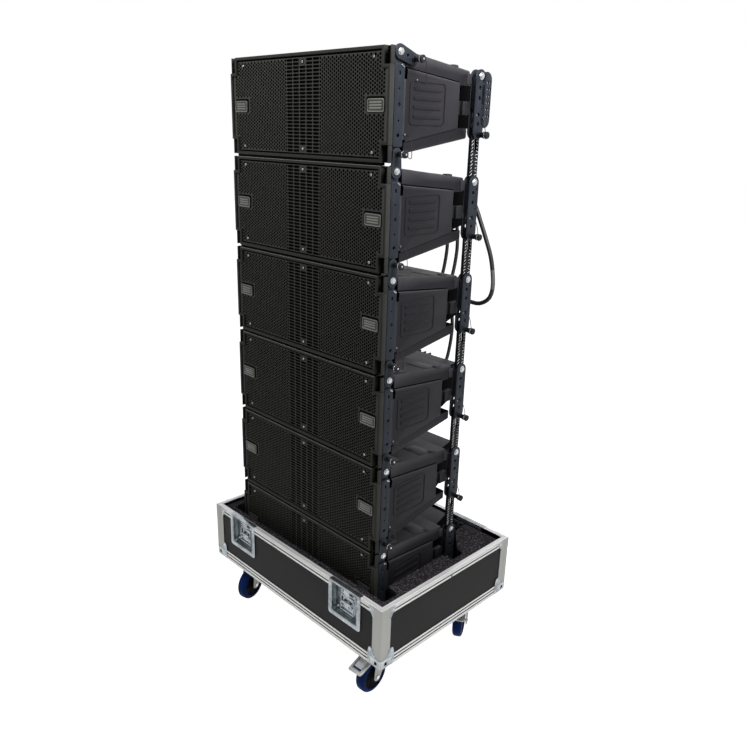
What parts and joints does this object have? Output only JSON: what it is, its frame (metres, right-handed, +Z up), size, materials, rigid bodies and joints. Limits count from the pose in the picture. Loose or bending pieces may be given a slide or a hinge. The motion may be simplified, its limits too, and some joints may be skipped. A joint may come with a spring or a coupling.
{
  "type": "line array speaker",
  "caption": "Column of line-array loudspeaker cabinets with grilles and steel link rigging, standing in the foam-lined wheeled base of a flight case.",
  "frame": {"origin": "on the floor under the middle of the case", "axes": "+X to the right of someone facing the grilles, +Y to the rear, +Z up"},
  "size_m": [0.746, 0.5497, 1.6194],
  "materials": {
    "polypropylene": "fine moulded grain, dark grey",
    "front_frame": "matt, near black",
    "grille_steel": "powder coat, near black",
    "rigging_steel": "satin black, slightly blue",
    "amplifier": "black anodised",
    "laminate": "dark phenolic laminate on ply",
    "aluminium": "extruded, satin",
    "zinc": "zinc plate",
    "foam": "open-cell foam, charcoal",
    "blue_tyre": "blue elastic rubber",
    "cable_rubber": "matt black sheath"
  },
  "bodies": {
    "case": {"case_tray": "laminate", "case_top_trim": "aluminium", "case_bottom_trim": "zinc", "case_foam": "foam"},
    "cabinet_6": {"housing_6": "polypropylene", "front_baffle_6": "front_frame", "grille_6": "grille_steel", "amp_panel_6": "amplifier", "rigging_right_6": "rigging_steel", "rigging_left_6": "rigging_steel"},
    "cabinet_5": {"housing_5": "polypropylene", "front_baffle_5": "front_frame", "grille_5": "grille_steel", "amp_panel_5": "amplifier", "rigging_right_5": "rigging_steel", "rigging_left_5": "rigging_steel"},
    "cabinet_4": {"housing_4": "polypropylene", "front_baffle_4": "front_frame", "grille_4": "grille_steel", "amp_panel_4": "amplifier", "rigging_right_4": "rigging_steel", "rigging_left_4": "rigging_steel", "cable_3_4_signal": "cable_rubber"},
    "cabinet_3": {"housing_3": "polypropylene", "front_baffle_3": "front_frame", "grille_3": "grille_steel", "amp_panel_3": "amplifier", "rigging_right_3": "rigging_steel", "rigging_left_3": "rigging_steel", "cable_2_3_loop": "cable_rubber", "cable_2_3_power": "cable_rubber", "cable_2_3_signal": "cable_rubber"},
    "cabinet_2": {"housing_2": "polypropylene", "front_baffle_2": "front_frame", "grille_2": "grille_steel", "amp_panel_2": "amplifier", "rigging_right_2": "rigging_steel", "rigging_left_2": "rigging_steel"},
    "cabinet_1": {"housing_1": "polypropylene", "front_baffle_1": "front_frame", "grille_1": "grille_steel", "amp_panel_1": "amplifier", "rigging_right_1": "rigging_steel", "rigging_left_1": "rigging_steel"},
    "front_link_right": {"front_link_right": "rigging_steel"},
    "front_link_left": {"front_link_left": "rigging_steel"},
    "latch_front_left": {"latch_front_left": "zinc"},
    "latch_front_right": {"latch_front_right": "zinc"},
    "latch_rear_left": {"latch_rear_left": "zinc"},
    "latch_rear_right": {"latch_rear_right": "zinc"},
    "caster_front_left": {"caster_fork_front_left": "zinc"},
    "wheel_front_left": {"caster_wheel_front_left": "blue_tyre"},
    "caster_front_right": {"caster_fork_front_right": "zinc"},
    "wheel_front_right": {"caster_wheel_front_right": "blue_tyre"},
    "pedal_front_right": {"brake_pedal_front_right": "zinc"},
    "caster_rear_left": {"caster_fork_rear_left": "zinc"},
    "wheel_rear_left": {"caster_wheel_rear_left": "blue_tyre"},
    "caster_rear_right": {"caster_fork_rear_right": "zinc"},
    "wheel_rear_right": {"caster_wheel_rear_right": "blue_tyre"},
    "pedal_rear_right": {"brake_pedal_rear_right": "zinc"}
  },
  "joints": [
    {"name": "stack_lift", "type": "slide", "parent": "case", "child": "cabinet_6", "axis": [0, 0, 1], "range_m": [0, 0.2]},
    {"name": "splay_5", "type": "hinge", "parent": "cabinet_6", "child": "cabinet_5", "pos_m": [0, -0.183, 0.44], "axis": [-1, 0, 0], "range_deg": [0, 7]},
    {"name": "splay_4", "type": "hinge", "parent": "cabinet_5", "child": "cabinet_4", "pos_m": [0, -0.183, 0.68], "axis": [-1, 0, 0], "range_deg": [0, 7]},
    {"name": "splay_3", "type": "hinge", "parent": "cabinet_4", "child": "cabinet_3", "pos_m": [0, -0.183, 0.92], "axis": [-1, 0, 0], "range_deg": [0, 7], "deforming": ["cable_3_4_signal"]},
    {"name": "splay_2", "type": "hinge", "parent": "cabinet_3", "child": "cabinet_2", "pos_m": [0, -0.183, 1.16], "axis": [-1, 0, 0], "range_deg": [0, 7], "deforming": ["cable_2_3_loop", "cable_2_3_power", "cable_2_3_signal"]},
    {"name": "splay_1", "type": "hinge", "parent": "cabinet_2", "child": "cabinet_1", "pos_m": [0, -0.183, 1.4], "axis": [-1, 0, 0], "range_deg": [0, 7]},
    {"name": "front_link_right_turn", "type": "hinge", "parent": "cabinet_1", "child": "front_link_right", "pos_m": [0.2864, -0.183, 1.604], "axis": [1, 0, 0], "range_deg": [0, 90]},
    {"name": "front_link_left_turn", "type": "hinge", "parent": "cabinet_1", "child": "front_link_left", "pos_m": [-0.2864, -0.183, 1.604], "axis": [1, 0, 0], "range_deg": [0, 90]},
    {"name": "latch_front_left_twist", "type": "hinge", "parent": "case", "child": "latch_front_left", "pos_m": [-0.231, -0.256, 0.258], "axis": [0, -1, 0], "range_deg": [0, 180]},
    {"name": "latch_front_right_twist", "type": "hinge", "parent": "case", "child": "latch_front_right", "pos_m": [0.231, -0.256, 0.258], "axis": [0, -1, 0], "range_deg": [0, 180]},
    {"name": "latch_rear_left_twist", "type": "hinge", "parent": "case", "child": "latch_rear_left", "pos_m": [-0.231, 0.256, 0.258], "axis": [0, 1, 0], "range_deg": [0, 180]},
    {"name": "latch_rear_right_twist", "type": "hinge", "parent": "case", "child": "latch_rear_right", "pos_m": [0.231, 0.256, 0.258], "axis": [0, 1, 0], "range_deg": [0, 180]},
    {"name": "swivel_front_left", "type": "hinge", "parent": "case", "child": "caster_front_left", "pos_m": [-0.284, -0.177, 0.13], "axis": [0, 0, 1], "continuous": true},
    {"name": "roll_front_left", "type": "hinge", "parent": "caster_front_left", "child": "wheel_front_left", "pos_m": [-0.27494, -0.21081, 0.05], "axis": [0.9659, 0.2588, 0], "continuous": true},
    {"name": "swivel_front_right", "type": "hinge", "parent": "case", "child": "caster_front_right", "pos_m": [0.284, -0.177, 0.13], "axis": [0, 0, 1], "continuous": true},
    {"name": "roll_front_right", "type": "hinge", "parent": "caster_front_right", "child": "wheel_front_right", "pos_m": [0.28644, -0.21191, 0.05], "axis": [0.9976, 0.0698, 0], "continuous": true},
    {"name": "brake_front_right", "type": "hinge", "parent": "caster_front_right", "child": "pedal_front_right", "pos_m": [0.28526, -0.19496, 0.115], "axis": [0.9976, 0.0698, 0], "range_deg": [0, 8]},
    {"name": "swivel_rear_left", "type": "hinge", "parent": "case", "child": "caster_rear_left", "pos_m": [-0.284, 0.177, 0.13], "axis": [0, 0, 1], "continuous": true},
    {"name": "roll_rear_left", "type": "hinge", "parent": "caster_rear_left", "child": "wheel_rear_left", "pos_m": [-0.29306, 0.14319, 0.05], "axis": [0.9659, -0.2588, 0], "continuous": true},
    {"name": "swivel_rear_right", "type": "hinge", "parent": "case", "child": "caster_rear_right", "pos_m": [0.284, 0.177, 0.13], "axis": [0, 0, 1], "continuous": true},
    {"name": "roll_rear_right", "type": "hinge", "parent": "caster_rear_right", "child": "wheel_rear_right", "pos_m": [0.3015, 0.14669, 0.05], "axis": [0.866, 0.5, 0], "continuous": true},
    {"name": "brake_rear_right", "type": "hinge", "parent": "caster_rear_right", "child": "pedal_rear_right", "pos_m": [0.293, 0.16141, 0.115], "axis": [0.866, 0.5, 0], "range_deg": [0, 8]}
  ]
}
